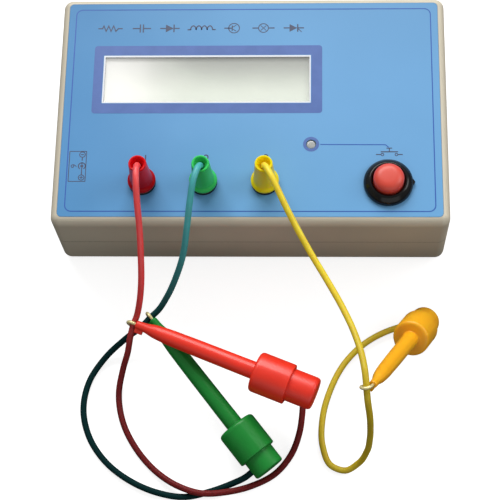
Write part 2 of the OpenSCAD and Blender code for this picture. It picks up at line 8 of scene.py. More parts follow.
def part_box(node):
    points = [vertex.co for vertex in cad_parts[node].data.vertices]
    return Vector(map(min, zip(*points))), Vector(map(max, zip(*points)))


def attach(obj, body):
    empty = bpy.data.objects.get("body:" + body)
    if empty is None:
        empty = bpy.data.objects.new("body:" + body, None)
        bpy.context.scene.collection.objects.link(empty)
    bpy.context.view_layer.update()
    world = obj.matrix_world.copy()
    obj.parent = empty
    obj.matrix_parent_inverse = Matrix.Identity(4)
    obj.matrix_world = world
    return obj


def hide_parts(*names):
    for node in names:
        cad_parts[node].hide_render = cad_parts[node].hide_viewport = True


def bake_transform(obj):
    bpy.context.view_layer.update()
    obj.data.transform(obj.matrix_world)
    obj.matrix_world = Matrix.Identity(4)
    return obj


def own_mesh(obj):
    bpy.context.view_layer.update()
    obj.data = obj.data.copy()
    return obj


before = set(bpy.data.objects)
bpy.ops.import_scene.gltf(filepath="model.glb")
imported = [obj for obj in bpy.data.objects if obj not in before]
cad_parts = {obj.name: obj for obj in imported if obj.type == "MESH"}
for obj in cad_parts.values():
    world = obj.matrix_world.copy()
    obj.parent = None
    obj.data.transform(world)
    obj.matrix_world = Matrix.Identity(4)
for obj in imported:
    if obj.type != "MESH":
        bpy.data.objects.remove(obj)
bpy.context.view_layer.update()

MM = 0.001
COLOURS = ("red", "green", "yellow")


# Camera

CAMERA_AT = (0.02009, -0.21384, 0.46821)
CAMERA_TURN = (20.746, 2.213, 0.954)  # degrees about X, Y and Z
CAMERA_LENS = 109.13
CAMERA_SENSOR = 36.0


def make_camera():
    data = bpy.data.cameras.new("camera")
    data.sensor_width = CAMERA_SENSOR
    data.lens = CAMERA_LENS
    data.clip_start = 0.01
    data.clip_end = 20.0
    data.dof.use_dof = False
    cam = bpy.data.objects.new("camera", data)
    cam.location = CAMERA_AT
    cam.rotation_euler = Euler([math.radians(a) for a in CAMERA_TURN], "XYZ")
    bpy.context.scene.collection.objects.link(cam)
    bpy.context.scene.camera = cam


make_camera()


# Sizes from part.scad, in millimetres. Tuples of three go with COLOURS.

LABEL_TOP = 31.95
CASE_X, CASE_Y, CASE_R, SEAM_Z = 62.5, 40.0, 3.0, 16.0  # half sizes, corner radius, height of the joint
SOCKET_X = (-33.8, -14.5, 4.8)
SOCKET_Y = -26.2
PLUG_Z = 33.05
PLUG_H = 13.9
BUTTON_AT = (43.3, -26.4)
LED_AT = (19.2, -13.0)
DISPLAY_AT = (-14.5, 10.1)
WINDOW = (67.0, 17.0)

# A clip lies along its own X axis, from the hook at 0 to the cap's end at CLIP_LEN; names in _S are
# places on that axis. Each clip is scaled by CLIP_SIZE; CLIP_TRAVEL is how far its barrel could slide,
# which sets the room for its spring.
CLIP_AT = ((-38.6, -67.1, 17.9), (-32.9, -62.8, 13.95), (36.2, -96.5, 45.7))
CLIP_YAW = (-21.5, -50.8, 60.2)
CLIP_FALL = (1.0, 7.8, 46.7)
CLIP_ROLL = (0.0, 0.0, 55.0)
CLIP_SIZE = (0.99, 0.967, 0.9)
CLIP_TRAVEL = (2.4, 1.4, 2.0)
CLIP_SLIDE = (-1.4, 1.9, 0.0)  # how far the collar sits from COLLAR_S
CLIP_LEN = 64.5
MOUTH_S = 3.4
COLLAR_R = 6.45
COLLAR_S = 45.4
COLLAR_LEN = 11.8
COLLAR_WALL = 1.6
SPRING_SHUT = 2.6  # room that the spring needs in the collar when the clip is squeezed
CAP_R = 5.25
HOOK_R = 1.8
HOOK_WIRE = 0.9
HOOK_ROOT = 3.5  # depth of the hook's end under the cap's end

# Looks only: how much longer each cap is than its CAD solid, and the width of its rounded edge
CAP_EXTRA = (0.0, 0.9, 0.0)
CAP_EDGE = (0.85, 0.5, 0.7)

# The leads' routes, from inside the plug, over in an arch, along the table and into the clip's cap
ROUTES = (
    (
        (-33.8, -26.2, 41.3), (-33.8, -26.3, 44.2), (-33.8, -26.9, 46.9), (-33.8, -28.6, 48.8),
        (-33.7, -31.8, 49.4), (-33.4, -38.2, 46.4), (-32.9, -45.2, 41), (-32.8, -52.2, 35),
        (-33.2, -58.5, 28), (-34.4, -63.4, 21.2), (-35.4, -65.8, 17.8), (-36.5, -67.9, 16.1),
        (-37.4, -70.6, 14.3), (-38.7, -74.8, 9.4), (-40.7, -79.3, 4.2), (-42, -86, 1.2),
        (-40.3, -95.5, 1.1), (-35.8, -104, 1.1), (-29, -111.5, 1.1), (-21.5, -116.4, 2.5),
        (-14.5, -118.6, 3.5), (-7, -118, 2.7), (0.5, -115.8, 1.1), (8.5, -111.5, 1.1),
        (13.3, -105.5, 1.6), (15.8, -99.2, 4.6), (16.5, -95.6, 8.2), (16.9, -91.4, 12.8),
    ),
    (
        (-14.5, -26.2, 41.3), (-14.5, -26.3, 44.2), (-14.6, -26.9, 46.9), (-15.1, -28.5, 48.8),
        (-16, -31.6, 49.4), (-17.3, -38, 46.2), (-18.5, -44.6, 40.4), (-20.1, -50.6, 32.6),
        (-22.9, -55.4, 24.6), (-26.1, -59.3, 17.8), (-29.2, -62.4, 13.6), (-31.8, -64.3, 11.9),
        (-34.2, -66.4, 10.4), (-40, -69.2, 5.6), (-46.9, -74.5, 1.6), (-51.8, -82.6, 1.1),
        (-53.1, -91.5, 1.1), (-50.8, -100.4, 1.1), (-45.2, -108.4, 1.1), (-37.2, -114.4, 1.1),
        (-28.6, -118, 1.1), (-20, -119.3, 1.1), (-12.2, -117.6, 1.1), (-5.2, -115, 1.2),
        (-1.3, -113.4, 2.4), (1.7, -111.5, 4.6),
    ),
    (
        (4.8, -26.2, 41.3), (4.8, -26.3, 44.2), (5, -26.9, 46.9), (5.7, -28.4, 48.8),
        (7.2, -31.4, 49.6), (10.4, -38, 48), (14.8, -46, 44.4), (19.4, -53.6, 41.2),
        (24.2, -61.5, 39.6), (28.6, -69.8, 39.8), (32.2, -78.6, 41.4), (34.4, -87, 43.6),
        (35.1, -92, 44.4), (35.4, -95.3, 43.6), (35.7, -98.4, 42), (36.5, -101.8, 36.5),
        (37, -103.6, 28), (37.1, -105, 19), (36.5, -106.6, 10.5), (34.2, -108.8, 4.2),
        (30, -110.6, 1.3), (25.6, -109, 1.1), (23, -102.8, 1.1), (22.9, -94.5, 1.1),
        (25.3, -85, 1.1), (30.2, -75.6, 1.1), (37, -68.8, 1.1), (44, -64.9, 1.1),
        (48.8, -63.6, 2.1), (51.7, -63.5, 3.5),
    ),
)
CORD_R = 1.0


# Materials

GLOSS_VARY = 0.06
PATCH_DETAIL, GRAIN_DETAIL = 4.0, 6.0
WANDER_SCALE, WANDER_SHARE = 35.0, 0.35  # unevenness of the painted light and shade on a panel: noise scale, share of its range
LCD_PAINTED_GLOW = 0.24
FILM_ALPHA = 0.14
FLOOR_GLOW = 0.8
MIX_FACTOR, MIX_A, MIX_B, MIX_RESULT = 0, 6, 7, 2  # a colour Mix node's sockets


def srgb(r, g, b):
    """A colour given as 0 to 255, as linear light."""
    def lin(c):
        c /= 255.0
        return c / 12.92 if c <= 0.04045 else ((c + 0.055) / 1.055) ** 2.4
    return (lin(r), lin(g), lin(b))


def scaled(colour, factor):
    return tuple(min(1.0, c * factor) for c in colour) + (1.0,)


def material(name, colour, rough=0.4, vary=0.06, patch=120.0, grain=2500.0, bump=0.15, depth=0.02,
             metallic=0.0, coat=0.0, subsurface=0.0, specular=0.5):
    """Plastic, metal or lacquer: slow colour patches, fine grain in the surface and uneven gloss.
    vary is how far the colour drifts, patch and grain are the noise scales per metre, and depth is the
    grain's height in millimetres."""
    m = bpy.data.materials.new(name)
    m.use_nodes = True
    nodes, links = m.node_tree.nodes, m.node_tree.links
    bsdf = nodes["Principled BSDF"]
    coords = nodes.new("ShaderNodeTexCoord")
    slow, fine = (nodes.new("ShaderNodeTexNoise") for _ in range(2))
    for noise, scale, detail in ((slow, patch, PATCH_DETAIL), (fine, grain, GRAIN_DETAIL)):
        noise.inputs["Scale"].default_value = scale
        noise.inputs["Detail"].default_value = detail
        links.new(coords.outputs["Object"], noise.inputs["Vector"])
    ramp = nodes.new("ShaderNodeValToRGB")
    dark, light = ramp.color_ramp.elements
    dark.position, dark.color = 0.3, scaled(colour, 1 - vary)
    light.position, light.color = 0.7, scaled(colour, 1 + vary)
    gloss = nodes.new("ShaderNodeMapRange")
    gloss.inputs["To Min"].default_value = max(0.02, rough - GLOSS_VARY)
    gloss.inputs["To Max"].default_value = min(1.0, rough + GLOSS_VARY)
    raised = nodes.new("ShaderNodeBump")
    raised.inputs["Strength"].default_value = bump
    raised.inputs["Distance"].default_value = depth * MM
    links.new(slow.outputs["Fac"], ramp.inputs["Fac"])
    links.new(ramp.outputs["Color"], bsdf.inputs["Base Color"])
    links.new(slow.outputs["Fac"], gloss.inputs["Value"])
    links.new(gloss.outputs["Result"], bsdf.inputs["Roughness"])
    links.new(fine.outputs["Fac"], raised.inputs["Height"])
    links.new(raised.outputs["Normal"], bsdf.inputs["Normal"])
    for socket, value in (("Metallic", metallic), ("Coat Weight", coat), ("Coat Roughness", 0.12),
                          ("Specular IOR Level", specular), ("Subsurface Weight", subsurface),
                          ("Subsurface Radius", (1.0, 0.6, 0.4)), ("Subsurface Scale", 1.5 * MM)):
        bsdf.inputs[socket].default_value = value
    return m


CASE = material("ivory_abs", srgb(212, 203, 182), rough=0.5, vary=0.03, patch=60, grain=3200,
                bump=0.35, depth=0.03)
SEAM = material("seam_shadow", srgb(132, 124, 106), rough=0.7, vary=0.08, patch=90, specular=0.2)
PRINT_FRAME = material("print_frame", srgb(78, 108, 174), rough=0.35, vary=0.05, patch=300)
PRINT_LINE = material("print_line", srgb(40, 92, 176), rough=0.35, vary=0.05, patch=300)
PRINT_DARK = material("print_dark", srgb(62, 70, 98), rough=0.4, vary=0.1, patch=400)
BLACK = material("black_gloss", srgb(12, 13, 14), rough=0.2, vary=0.15, patch=200, bump=0.05,
                 specular=0.35)
BLACK_SATIN = material("black_satin", srgb(24, 25, 27), rough=0.42, vary=0.12, patch=300, bump=0.2)
TIN = material("tinned", (0.72, 0.72, 0.71), rough=0.28, metallic=1.0, vary=0.08, patch=900, bump=0.1)
STEEL = material("steel_frame", (0.50, 0.51, 0.53), rough=0.38, metallic=1.0, vary=0.1, patch=500)
GOLD = material("gold_metal", srgb(236, 216, 152), rough=0.26, metallic=1.0, vary=0.1, patch=700,
                bump=0.12)
HOOK = material("hook_metal", srgb(250, 234, 172), rough=0.3, metallic=0.4, vary=0.1, patch=700, bump=0.12,
                specular=0.6)
BOARD = material("board", srgb(26, 104, 60), rough=0.32, vary=0.12, patch=350, coat=0.4)
MILK = material("light_guide", srgb(238, 238, 230), rough=0.4, subsurface=0.2)
LED_RESIN = material("led_resin", srgb(172, 174, 172), rough=0.24, vary=0.05, patch=700, coat=0.4)
BLUE_SLEEVE = material("blue_sleeve", srgb(34, 52, 92), rough=0.3, coat=0.3)
LACQUER = material("resistor_lacquer", srgb(96, 160, 186), rough=0.35, coat=0.3)
BATTERY = material("battery_jacket", srgb(44, 60, 84), rough=0.3, metallic=0.4, coat=0.3)
WIRE = material("thin_wire", srgb(206, 206, 200), rough=0.42)
BUTTON_RED = material("button_red", srgb(222, 72, 54), rough=0.42, vary=0.04, patch=180, specular=0.7,
                      bump=0.12, subsurface=0.06)
PLUG = {
    colour: material(colour + "_plug_plastic", tone, rough=0.34, vary=0.05, specular=0.18, subsurface=0.45)
    for colour, tone in zip(COLOURS, (srgb(214, 8, 20), srgb(58, 204, 102), srgb(250, 224, 4)))
}
CLIP = {
    "red": material("red_clip_plastic", srgb(250, 46, 16), rough=0.4, vary=0.05, patch=160, bump=0.16,
                    specular=0.75, subsurface=0.3),
    "green": material("green_clip_plastic", srgb(22, 138, 50), rough=0.37, vary=0.05, patch=160, bump=0.16,
                      specular=0.4, subsurface=0.15),
    "yellow": material("yellow_clip_plastic", srgb(255, 178, 26), rough=0.36, vary=0.03, patch=160,
                       bump=0.16, specular=0.45, subsurface=0.35),
}
CORD = {
    "red": material("red_pvc", srgb(255, 80, 82), rough=0.42, vary=0.05, patch=260, grain=5000,
                    specular=0.7, subsurface=0.8),
    "green": material("green_pvc", srgb(72, 176, 178), rough=0.42, vary=0.08, patch=260, grain=5000,
                      specular=0.5),
    "yellow": material("yellow_pvc", srgb(255, 222, 52), rough=0.42, vary=0.06, patch=260, grain=5000,
                       specular=0.45, subsurface=0.4),
}


def set_range(node, *values):
    for socket, value in zip(("From Min", "From Max", "To Min", "To Max"), values):
        node.inputs[socket].default_value = value


def object_axes(nodes, links):
    """The object's own X, Y and Z, in metres, as outputs."""
    coords = nodes.new("ShaderNodeTexCoord")
    split = nodes.new("ShaderNodeSeparateXYZ")
    links.new(coords.outputs["Object"], split.inputs["Vector"])
    return split.outputs


def paint_shade(m, low, bottom, top, axis="Z"):
    """Painted shade along an axis: a finish's colour and gloss are low times as strong at bottom
    millimetres and at full strength from top."""
    nodes, links = m.node_tree.nodes, m.node_tree.links
    bsdf = nodes["Principled BSDF"]
    colour, gloss = bsdf.inputs["Base Color"], bsdf.inputs["Specular IOR Level"]
    level = nodes.new("ShaderNodeMapRange")
    level.interpolation_type = "SMOOTHSTEP"
    set_range(level, bottom * MM, top * MM, low, 1.0)
    links.new(object_axes(nodes, links)[axis], level.inputs["Value"])
    scale = nodes.new("ShaderNodeVectorMath")
    scale.operation = "SCALE"
    links.new(colour.links[0].from_socket, scale.inputs[0])
    links.new(level.outputs["Result"], scale.inputs["Scale"])
    links.new(scale.outputs["Vector"], colour)
    weaken = nodes.new("ShaderNodeMath")
    weaken.operation = "MULTIPLY"
    weaken.inputs[1].default_value = gloss.default_value
    links.new(level.outputs["Result"], weaken.inputs[0])
    links.new(weaken.outputs["Value"], gloss)


# Painted shade: the case is darker towards the table.
paint_shade(CASE, 0.72, -4, 22)
# Painted shade: the red plug is darker towards its foot.
paint_shade(PLUG["red"], 0.62, 33, 44)
# Painted shade: the red and green leads get darker the lower they run, and the yellow lead gets darker
# towards the front.
paint_shade(CORD["red"], 0.15, 0, 38)
paint_shade(CORD["green"], 0.055, 6, 48)
paint_shade(CORD["yellow"], 0.64, -100, -42, "Y")


def painted_light_and_shade(name, colours, across, up, corner=None, **finish):
    """A finish with painted light and shade across the panel: colours are the left, right, top and bottom
    tones, and across and up are the millimetre ranges of X and Y that they span. corner is the top left
    tone."""
    left, right, top, bottom = colours
    m = material(name, left, **finish)
    nodes, links = m.node_tree.nodes, m.node_tree.links
    colour = nodes["Principled BSDF"].inputs["Base Color"]
    grain = colour.links[0].from_socket
    axes = object_axes(nodes, links)
    coords = nodes.new("ShaderNodeTexCoord")
    wander = nodes.new("ShaderNodeTexNoise")
    wander.inputs["Scale"].default_value = WANDER_SCALE
    wander.inputs["Detail"].default_value = 2.0
    links.new(coords.outputs["Object"], wander.inputs["Vector"])

    def ramp(axis, low, high):
        """0 to 1 from low to high millimetres, on an uneven front."""
        spread = abs(high - low) * WANDER_SHARE
        shift = nodes.new("ShaderNodeMath")
        shift.operation = "MULTIPLY_ADD"
        shift.inputs[1].default_value = spread * MM
        links.new(wander.outputs["Fac"], shift.inputs[0])
        links.new(axes[axis], shift.inputs[2])
        out = nodes.new("ShaderNodeMapRange")
        out.interpolation_type = "SMOOTHSTEP"
        set_range(out, (low + spread / 2) * MM, (high + spread / 2) * MM)
        links.new(shift.outputs["Value"], out.inputs["Value"])
        return out.outputs["Result"]

    def mix(kind, factor, a, b):
        out = nodes.new("ShaderNodeMix")
        out.data_type = "RGBA"
        out.blend_type = kind
        for socket, value in ((MIX_FACTOR, factor), (MIX_A, a), (MIX_B, b)):
            if isinstance(value, tuple):
                out.inputs[socket].default_value = value + (1.0,)
            elif isinstance(value, float):
                out.inputs[socket].default_value = value
            else:
                links.new(value, out.inputs[socket])
        return out.outputs[MIX_RESULT]

    sides = mix("MIX", ramp("X", *across), left, right)
    above = mix("MIX", ramp("X", *across), corner, top) if corner else top
    whole = mix("MIX", ramp("Y", *up), mix("MULTIPLY", 1.0, sides, bottom),
                mix("MULTIPLY", 1.0, sides, above))
    tint = nodes.new("ShaderNodeVectorMath")
    tint.operation = "DIVIDE"
    links.new(grain, tint.inputs[0])
    tint.inputs[1].default_value = left
    links.new(mix("MULTIPLY", 1.0, whole, tint.outputs["Vector"]), colour)
    return m


# Painted light and shade: the label's blue is darker towards the left and the bottom.
LABEL = painted_light_and_shade("label_film",
               (srgb(82, 146, 200), srgb(112, 170, 219), (0.93, 0.95, 0.96), (0.87, 0.94, 0.95)),
               (-72, 10), (-46, 0), rough=0.36, vary=0.03, patch=22, grain=4200, bump=0.12, depth=0.012,
               specular=0.35)
# Painted shade: the label is darker towards its top.
paint_shade(LABEL, 0.9, 44, 6, "Y")
# Painted light and shade on the pane: a grey painted shadow band along its top, and lighter towards the
# left.
LCD = painted_light_and_shade("lcd_pane",
             (srgb(255, 254, 249), srgb(226, 231, 219), (0.4, 0.39, 0.4), (1.0, 1.0, 0.99)),
             (-46, -18), (3, 19), (0.86, 0.85, 0.86), rough=0.2, vary=0.02, patch=26, grain=5200, bump=0.04,
             depth=0.008)
FILM = material("window_film", srgb(226, 228, 224), rough=0.22, vary=0.02, patch=30, grain=4200, bump=0.05,
                depth=0.01, specular=0.4)
# Painted highlight: the near-white window edge strip stands in for light on the window's inner edge.
FILM_EDGE_HIGHLIGHT = material("window_edge_highlight", srgb(246, 246, 250), rough=0.3, vary=0.03, patch=200, subsurface=0.2)


def light_up(m, strength):
    """Lets a finish glow in its own colour."""
    bsdf = m.node_tree.nodes["Principled BSDF"]
    m.node_tree.links.new(bsdf.inputs["Base Color"].links[0].from_socket, bsdf.inputs["Emission Color"])
    bsdf.inputs["Emission Strength"].default_value = strength


# Painted light: the pane glows in its own tones, painted shadow band included.
light_up(LCD, LCD_PAINTED_GLOW)
FILM.node_tree.nodes["Principled BSDF"].inputs["Alpha"].default_value = FILM_ALPHA


# Mesh building, in millimetres

SHARP_ANGLE = math.radians(38.0)
NODE_SHARP_ANGLE = math.radians(32.0)


def shade(mesh, angle=SHARP_ANGLE):
    mesh.shade_smooth()
    mesh.set_sharp_from_angle(angle=angle)


def piece(name, verts, faces, mat, body=None, slot=None, matrix=None):
    """A mesh piece from points in millimetres, placed by matrix, that rides on a body."""
    mesh = bpy.data.meshes.new(name)
    place = matrix or Matrix.Identity(4)
    mesh.from_pydata([(place @ Vector(v)) * MM for v in verts], [], faces)
    bm = bmesh.new()
    bm.from_mesh(mesh)
    bmesh.ops.remove_doubles(bm, verts=bm.verts, dist=1e-7)
    bmesh.ops.recalc_face_normals(bm, faces=bm.faces)
    bm.to_mesh(mesh)
    bm.free()
    shade(mesh)
    mesh.materials.append(mat)
    obj = bpy.data.objects.new(name, mesh)
    bpy.context.scene.collection.objects.link(obj)
    if body:
        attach(obj, body)
    return obj


def box_mm(node):
    """A CAD node's x0, y0, z0, x1, y1 and z1 at rest, in millimetres."""
    return [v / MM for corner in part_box(node) for v in corner]


def soften(points, steps=5):
    """Corner points (r, z, cut) with each corner cut back by cut millimetres and rounded."""
    out = []
    last = len(points) - 1
    for i, point in enumerate(points):
        here = Vector(point[:2])
        cut = point[2] if len(point) > 2 else 0.0
        if cut == 0 or i in (0, last):
            out.append(tuple(here))
            continue
        before = Vector(points[i - 1][:2]) - here
        after = Vector(points[i + 1][:2]) - here
        a = here + before.normalized() * min(cut, before.length * 0.48)
        b = here + after.normalized() * min(cut, after.length * 0.48)
        for k in range(steps + 1):
            t = k / steps
            out.append(tuple(a * (1 - t) ** 2 + here * 2 * t * (1 - t) + b * t * t))
    return out


def lathe(profile, segs=72, ridge=(), height=0.0, closed=False):
    """Points (r, z) turned about Z; the segments in ridge stand out by height, as a mould line.
    A point on the axis closes the surface, and closed joins the last point to the first."""
    verts, rings, faces = [], [], []
    for r, z in profile:
        if r < 1e-5:
            rings.append([len(verts)])
            verts.append((0.0, 0.0, z))
            continue
        rings.append(list(range(len(verts), len(verts) + segs)))
        for k in range(segs):
            a = 2 * math.pi * k / segs
            q = r + (height if k in ridge else 0.0)
            verts.append((q * math.cos(a), q * math.sin(a), z))
    pairs = list(zip(rings, rings[1:]))
    if closed:
        pairs.append((rings[-1], rings[0]))
    for lo, hi in pairs:
        if len(lo) == 1 and len(hi) == 1:
            continue
        for k in range(segs):
            k2 = (k + 1) % segs
            if len(lo) == 1:
                faces.append((lo[0], hi[k2], hi[k]))
            elif len(hi) == 1:
                faces.append((lo[k], lo[k2], hi[0]))
            else:
                faces.append((lo[k], lo[k2], hi[k2], hi[k]))
    return verts, faces


def along_x(verts):
    """Turns a lathe's Z axis to local X, and its X axis to local -Z."""
    return [(z, y, -x) for x, y, z in verts]


def smooth_path(points, step):
    """A smooth curve through the points, in equal steps of about step millimetres."""
    p = [Vector(q) for q in points]
    gaps = [(b - a).length for a, b in zip(p, p[1:])]
    tangents = [(p[1] - p[0]) / gaps[0]]
    for i in range(1, len(p) - 1):
        before, after = gaps[i - 1], gaps[i]
        u, v = (p[i] - p[i - 1]) / before, (p[i + 1] - p[i]) / after
        tangents.append((u * after + v * before) / (before + after))
    tangents.append((p[-1] - p[-2]) / gaps[-1])
    dense = []
    for i, h in enumerate(gaps):
        n = max(4, int(h / 0.15))
        for k in range(n):
            t = k / n
            dense.append(p[i] * (2 * t ** 3 - 3 * t ** 2 + 1)
                         + tangents[i] * (h * (t ** 3 - 2 * t ** 2 + t))
                         + p[i + 1] * (3 * t ** 2 - 2 * t ** 3)
                         + tangents[i + 1] * (h * (t ** 3 - t ** 2)))
    dense.append(p[-1])
    lengths = [0.0]
    for a, b in zip(dense, dense[1:]):
        lengths.append(lengths[-1] + (b - a).length)
    count = max(2, round(lengths[-1] / step))
    out, j = [], 0
    for k in range(count + 1):
        target = lengths[-1] * k / count
        while j < len(dense) - 2 and lengths[j + 1] < target:
            j += 1
        f = (target - lengths[j]) / max(1e-9, lengths[j + 1] - lengths[j])
        out.append(dense[j].lerp(dense[j + 1], min(1.0, max(0.0, f))))
    return out


def tube(points, radius, segs=16):
    """Points and faces of a tube whose rings never twist; radius is a number or one per point."""
    p = [Vector(q) for q in points]
    n = len(p)
    radii = list(radius) if hasattr(radius, "__len__") else [radius] * n
    t = [(p[min(i + 1, n - 1)] - p[max(i - 1, 0)]).normalized() for i in range(n)]
    side = t[0].cross(Vector((0, 0, 1)) if abs(t[0].z) < 0.9 else Vector((1, 0, 0))).normalized()
    verts, faces = [], []
    for i in range(n):
        side = (side - t[i] * side.dot(t[i])).normalized()
        up = t[i].cross(side)
        for k in range(segs):
            a = 2 * math.pi * k / segs
            verts.append(tuple(p[i] + (side * math.cos(a) + up * math.sin(a)) * radii[i]))
    for i in range(n - 1):
        for k in range(segs):
            k2 = (k + 1) % segs
            faces.append((i * segs + k, i * segs + k2, (i + 1) * segs + k2, (i + 1) * segs + k))
    faces.append(tuple(range(segs - 1, -1, -1)))
    faces.append(tuple((n - 1) * segs + k for k in range(segs)))
    return verts, faces


def spring(start, end, coil_r, wire_r, turns, steps, place):
    """A coil spring from start to end along its axis; place turns (along, across, up) into a point."""
    count = turns * steps
    points = []
    for k in range(count + 1):
        a = 2 * math.pi * k / steps
        points.append(place(start + (end - start) * k / count, coil_r * math.cos(a), coil_r * math.sin(a)))
    return tube(points, wire_r, 10)


def merge(*solids):
    """Several solids as one piece's points and faces."""
    verts, faces = [], []
    for v, f in solids:
        base = len(verts)
        verts += list(v)
        faces += [tuple(i + base for i in face) for face in f]
    return verts, faces


def slab(outline, z0, z1, inner=None):
    """A flat plate from a 2-D outline; inner turns it into the ring between two outlines."""
    n = len(outline)
    if inner is None:
        verts = [(x, y, z) for z in (z0, z1) for x, y in outline]
        faces = [tuple(range(n - 1, -1, -1)), tuple(range(n, 2 * n))]
        faces += [(k, (k + 1) % n, n + (k + 1) % n, n + k) for k in range(n)]
        return verts, faces
    loops = [(outline, z0), (outline, z1), (inner, z1), (inner, z0)]
    verts = [(x, y, z) for loop, z in loops for x, y in loop]
    faces = []
    for a in range(4):
        b = (a + 1) % 4
        for k in range(n):
            k2 = (k + 1) % n
            faces.append((a * n + k, a * n + k2, b * n + k2, b * n + k))
    return verts, faces


def round_rect(x0, y0, x1, y1, r, steps=6):
    """The outline of a rectangle with corners of radius r, in steps a quarter turn."""
    out = []
    corners = ((x1 - r, y1 - r), (x0 + r, y1 - r), (x0 + r, y0 + r), (x1 - r, y0 + r))
    for quarter, (cx, cy) in enumerate(corners):
        for k in range(steps + 1):
            a = math.radians(90 * quarter + 90 * k / steps)
            out.append((cx + r * math.cos(a), cy + r * math.sin(a)))
    return out


def circle(cx, cy, r, n=32):
    angles = [2 * math.pi * k / n for k in range(n)]
    return [(cx + r * math.cos(a), cy + r * math.sin(a)) for a in angles]


def end_block(x0, x1, width, z0, z1):
    """A small block along X whose long edges are rounded."""
    outline = round_rect(-width / 2, z0, width / 2, z1, 0.35, 4)
    n = len(outline)
    verts = [(x, y, z) for x in (x0, x1) for y, z in outline]
    faces = [tuple(range(n)), tuple(range(2 * n - 1, n - 1, -1))]
    faces += [(k, n + k, n + (k + 1) % n, (k + 1) % n) for k in range(n)]
    return verts, faces


def chamfered(x0, y0, z0, x1, y1, z1, r=0.3, cut=0.12):
    """A plate with rounded corners and a small chamfer round its top."""
    outline = round_rect(x0, y0, x1, y1, r, 3)
    inner = round_rect(x0 + cut, y0 + cut, x1 - cut, y1 - cut, max(0.05, r - cut), 3)
    n = len(outline)
    verts = [(*q, z0) for q in outline] + [(*q, z1 - cut) for q in outline] + [(*q, z1) for q in inner]
    faces = [tuple(range(n - 1, -1, -1)), tuple(range(2 * n, 3 * n))]
    for low, high in ((0, n), (n, 2 * n)):
        for k in range(n):
            k2 = (k + 1) % n
            faces.append((low + k, low + k2, high + k2, high + k))
    return verts, faces


def cut(obj, verts, faces, operation="DIFFERENCE"):
    """Takes a solid, in millimetres, away from a piece, or with UNION adds it to the piece."""
    tool = piece("cutter", verts, faces, obj.data.materials[0])
    mod = obj.modifiers.new("cut", "BOOLEAN")
    mod.operation = operation
    mod.solver = "EXACT"
    mod.object = tool
    graph = bpy.context.evaluated_depsgraph_get()
    mesh = bpy.data.meshes.new_from_object(obj.evaluated_get(graph))
    obj.modifiers.clear()
    obj.data = mesh
    bpy.data.objects.remove(tool)
    shade(mesh)


# Test leads: the wire, its plug and its hook clip

CORD_STEP = 0.8
PLUG_TURN = 20.0  # degrees about Z, which puts the mould lines off the axes
MOULD_HALF = range(46, 94)  # the lathe segments of one mould half, which stands a little proud
LIP_TURN = -60.0  # degrees about the clip's axis, to its mouth's lip
COIL_END = 0.35  # clearance from a clip spring's end turns to its seats


def clip_matrix(i):
    """Where a clip lies, and its size."""
    place = Matrix.Translation(CLIP_AT[i])
    for turn in ((0, 0, CLIP_YAW[i]), (0, CLIP_FALL[i], 0), (CLIP_ROLL[i], 0, 0)):
        place = place @ Euler([math.radians(a) for a in turn]).to_matrix().to_4x4()
    return place @ Matrix.Scale(CLIP_SIZE[i], 4)


def make_cord(i):
    colour = COLOURS[i]
    path = smooth_path(ROUTES[i], CORD_STEP)
    obj = piece(colour + "_lead", *tube(path, CORD_R), CORD[colour], slot=colour + "_wire")
    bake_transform(obj)
    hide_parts(colour + "_cord_top", colour + "_cord")
    return obj, [tuple(q * MM) for q in path]


def make_plug(i):
    """The plug's sleeve: a flange, a taper and a shallow funnel round the lead."""
    colour = COLOURS[i]
    h = PLUG_H
    profile = soften([
        (1.02, 0), (3.85, 0, 0.3), (4.4, 0.55, 0.3), (4.4, 1.35, 0.3), (3.95, 1.85, 0.25),
        (3.7, 2.05, 0.2), (3.5, 2.6, 0.3), (3.25, 5.2, 0.5), (2.8, h - 1.3, 0.3),
        (2.8, h - 0.55, 0.15), (2.68, h - 0.05, 0.12), (2.4, h, 0.1), (2.1, h - 0.12, 0.12),
        (1.95, h - 0.6, 0.25), (1.7, h - 1.3, 0.3), (1.2, h - 1.9, 0.3), (1.06, h - 3.2, 0.2),
        (1.02, 7.5),
    ])
    solid = lathe(profile, closed=True, ridge=(0, 36), height=0.035)
    place = Matrix.Translation((SOCKET_X[i], SOCKET_Y, PLUG_Z))
    place = place @ Matrix.Rotation(math.radians(PLUG_TURN), 4, "Z")
    name = colour + "_plug"
    obj = piece(name + "_body", *solid, PLUG[colour], name, name, place)
    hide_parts(name + "_sleeve")
    return obj


def make_barrel(i):
    """The sliding part: a thin nose with a lip at its mouth, a shaft, and the collar round the cap."""
    colour = COLOURS[i]
    front = COLLAR_S + CLIP_SLIDE[i]
    back = front + COLLAR_LEN
    bore = HOOK_WIRE / 2 + 0.05
    cavity = CAP_R + 0.2
    profile = soften([
        (bore, MOUTH_S), (1.0, MOUTH_S, 0.1), (1.3, MOUTH_S + 0.35, 0.3), (1.42, 6.6, 0.8),
        (2.12, 9.8, 1.0), (2.5, 14.5, 2), (2.66, 24, 3), (2.8, front, 0.35), (COLLAR_R, front, 1.5),
        (COLLAR_R, back, 0.4), (cavity, back, 0.2), (cavity, front + COLLAR_WALL, 0.3),
        (bore, front + COLLAR_WALL),
    ], steps=7)
    verts, faces = lathe(profile, segs=96, closed=True, ridge=MOULD_HALF, height=0.08)
    place = clip_matrix(i)
    obj = piece(colour + "_clip_sleeve", along_x(verts), faces, CLIP[colour], matrix=place)
    verts, faces = end_block(MOUTH_S + 0.25, MOUTH_S + 2.8, 1.15, -2.7, -0.75)
    turned = place @ Matrix.Rotation(math.radians(LIP_TURN), 4, "X")
    cut(obj, [tuple(turned @ Vector(v)) for v in verts], faces, "UNION")
    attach(obj, colour + "_barrel")
    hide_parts(colour + "_clip_barrel")
    return obj


def spring_span(i):
    """Where the clip's spring pushes on the collar and on the cap."""
    start = COLLAR_S + CLIP_SLIDE[i] + COLLAR_WALL
    return start, start + CLIP_TRAVEL[i] + SPRING_SHUT


